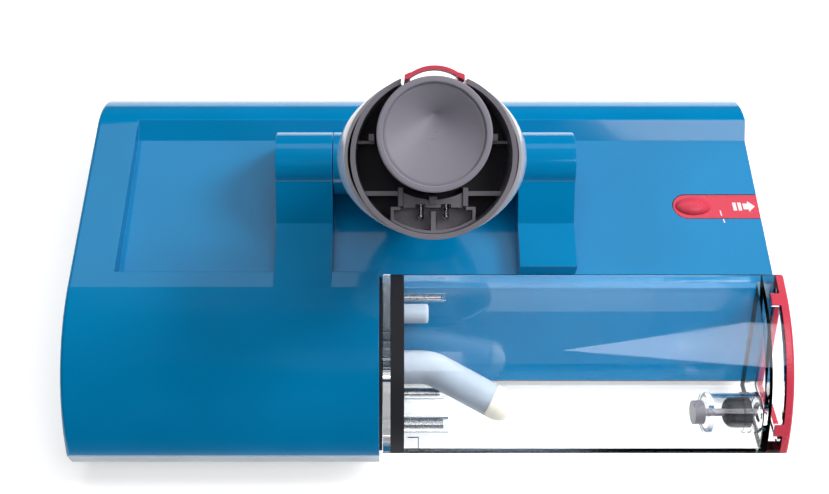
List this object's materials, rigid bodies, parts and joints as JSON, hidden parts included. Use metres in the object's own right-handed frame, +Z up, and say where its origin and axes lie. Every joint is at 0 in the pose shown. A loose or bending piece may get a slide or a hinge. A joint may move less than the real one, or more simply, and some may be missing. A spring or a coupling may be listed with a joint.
{
  "type": "wet floor roller head",
  "caption": "Powered wet roller floor head with a clear clean-water tank, driven microfibre roller, drop-out dirty-water tray and a tilting wand neck.",
  "frame": {"origin": "centre of the bounding box at floor level", "axes": "+X across the head (the tank is on the +X half), +Y the way the head travels (roller side), +Z up"},
  "size_m": [0.292, 0.1693, 0.1611],
  "materials": {
    "blue_shell": "gloss moulded",
    "clear_tank": "polished clear",
    "red_trim": "gloss moulded",
    "dark_plastic": "fine satin",
    "grey_plastic": "satin",
    "silver_shell": "metallic satin",
    "blank_grey": "satin",
    "pale_strip": "satin",
    "seal_black": "matt",
    "milky_silicone": "matt translucent",
    "cream_tip": "satin",
    "steel": "plain",
    "motor_steel": "zinc plated",
    "pump_body": "satin",
    "board_green": "solder mask",
    "chip_black": "satin",
    "cable_black": "matt",
    "microfibre": "cut pile",
    "core_grey": "satin",
    "bearing_bronze": "sintered",
    "belt_rubber": "moulded"
  },
  "bodies": {
    "head": {"top_cover": "blue_shell", "base_plate": "dark_plastic", "left_bulkhead": "dark_plastic", "rear_bumper": "pale_strip", "spray_guard": "dark_plastic", "roller_bearings": "bearing_bronze", "hinge_pins": "steel", "wheel_axles": "steel", "axle_cradles": "dark_plastic", "base_screws": "steel", "drive_motor": "motor_steel", "motor_saddle": "dark_plastic", "drive_belt": "belt_rubber", "water_pump": "pump_body", "pump_inlet_hose": "milky_silicone", "pump_outlet_hose": "milky_silicone", "hydration_bar": "grey_plastic", "tank_socket": "seal_black", "tank_gasket": "seal_black", "control_board": "board_green", "board_components": "chip_black", "wiring_loom": "cable_black", "latch_spring": "steel"},
    "yoke": {"pivot_drum": "blue_shell", "yoke_bushes": "bearing_bronze"},
    "neck": {"neck_shell": "silver_shell", "neck_floor": "dark_plastic", "neck_ribs": "grey_plastic", "neck_collar": "grey_plastic", "wand_spigot": "blank_grey", "spigot_cap": "blank_grey", "contact_block": "grey_plastic", "contact_pins": "steel", "neck_cable": "cable_black", "button_spring": "steel"},
    "release_button": {"wand_button": "red_trim"},
    "roller": {"roller_core": "core_grey", "roller_sleeve": "microfibre", "drive_hub": "dark_plastic", "roller_end_cap": "red_trim"},
    "motor_rotor": {"motor_shaft": "steel", "motor_pulley": "core_grey"},
    "latch": {"roller_latch": "red_trim"},
    "tray": {"dirty_water_tray": "grey_plastic", "wiper_blade": "seal_black"},
    "wheel_l": {"wheel_left": "dark_plastic"},
    "wheel_r": {"wheel_right": "dark_plastic"},
    "tank": {"tank_shell": "clear_tank", "tank_flange": "clear_tank", "tank_end_plate": "dark_plastic", "tank_end_ring": "clear_tank", "pickup_tube": "milky_silicone", "pickup_tip": "cream_tip", "vent_stub": "milky_silicone", "screw_posts": "clear_tank", "post_screws": "steel", "valve_barrel": "clear_tank"},
    "end_cap": {"tank_end_cap": "red_trim"},
    "fill_valve": {"valve_stem": "grey_plastic", "valve_cup": "seal_black"}
  },
  "joints": [
    {"name": "neck_tilt", "type": "hinge", "parent": "head", "child": "yoke", "pos_m": [0, 0.031, 0.0627], "axis": [1, 0, 0], "range_deg": [-32, 32]},
    {"name": "neck_swivel", "type": "hinge", "parent": "yoke", "child": "neck", "pos_m": [0, 0.031, 0.0627], "axis": [0, -0.5358, 0.8443], "range_deg": [-35, 35]},
    {"name": "button_press", "type": "slide", "parent": "neck", "child": "release_button", "axis": [0, 0.5358, -0.8443], "range_m": [0, 0.003], "stiffness_N_per_m": 400},
    {"name": "roller_spin", "type": "hinge", "parent": "head", "child": "roller", "pos_m": [0, 0.0593, 0.022], "axis": [1, 0, 0], "continuous": true},
    {"name": "motor_spin", "type": "hinge", "parent": "head", "child": "motor_rotor", "pos_m": [-0.13, -0.045, 0.029], "axis": [1, 0, 0], "continuous": true},
    {"name": "latch_slide", "type": "slide", "parent": "head", "child": "latch", "axis": [1, 0, 0], "range_m": [0, 0.008], "stiffness_N_per_m": 150},
    {"name": "tray_drop", "type": "slide", "parent": "head", "child": "tray", "axis": [0, 0, -1], "range_m": [0, 0.045]},
    {"name": "wheel_left_spin", "type": "hinge", "parent": "head", "child": "wheel_l", "pos_m": [-0.1, -0.027, 0.009], "axis": [1, 0, 0], "continuous": true},
    {"name": "wheel_right_spin", "type": "hinge", "parent": "head", "child": "wheel_r", "pos_m": [0.1, -0.027, 0.009], "axis": [1, 0, 0], "continuous": true},
    {"name": "tank_slide", "type": "slide", "parent": "head", "child": "tank", "axis": [1, 0, 0], "range_m": [0, 0.06]},
    {"name": "cap_pull", "type": "slide", "parent": "tank", "child": "end_cap", "axis": [1, 0, 0], "range_m": [0, 0.02]},
    {"name": "valve_press", "type": "slide", "parent": "tank", "child": "fill_valve", "axis": [-1, 0, 0], "range_m": [0, 0.004], "stiffness_N_per_m": 150}
  ],
  "couplings": [
    {"joint": "motor_spin", "follows": "roller_spin", "ratio": 1.8333}
  ]
}
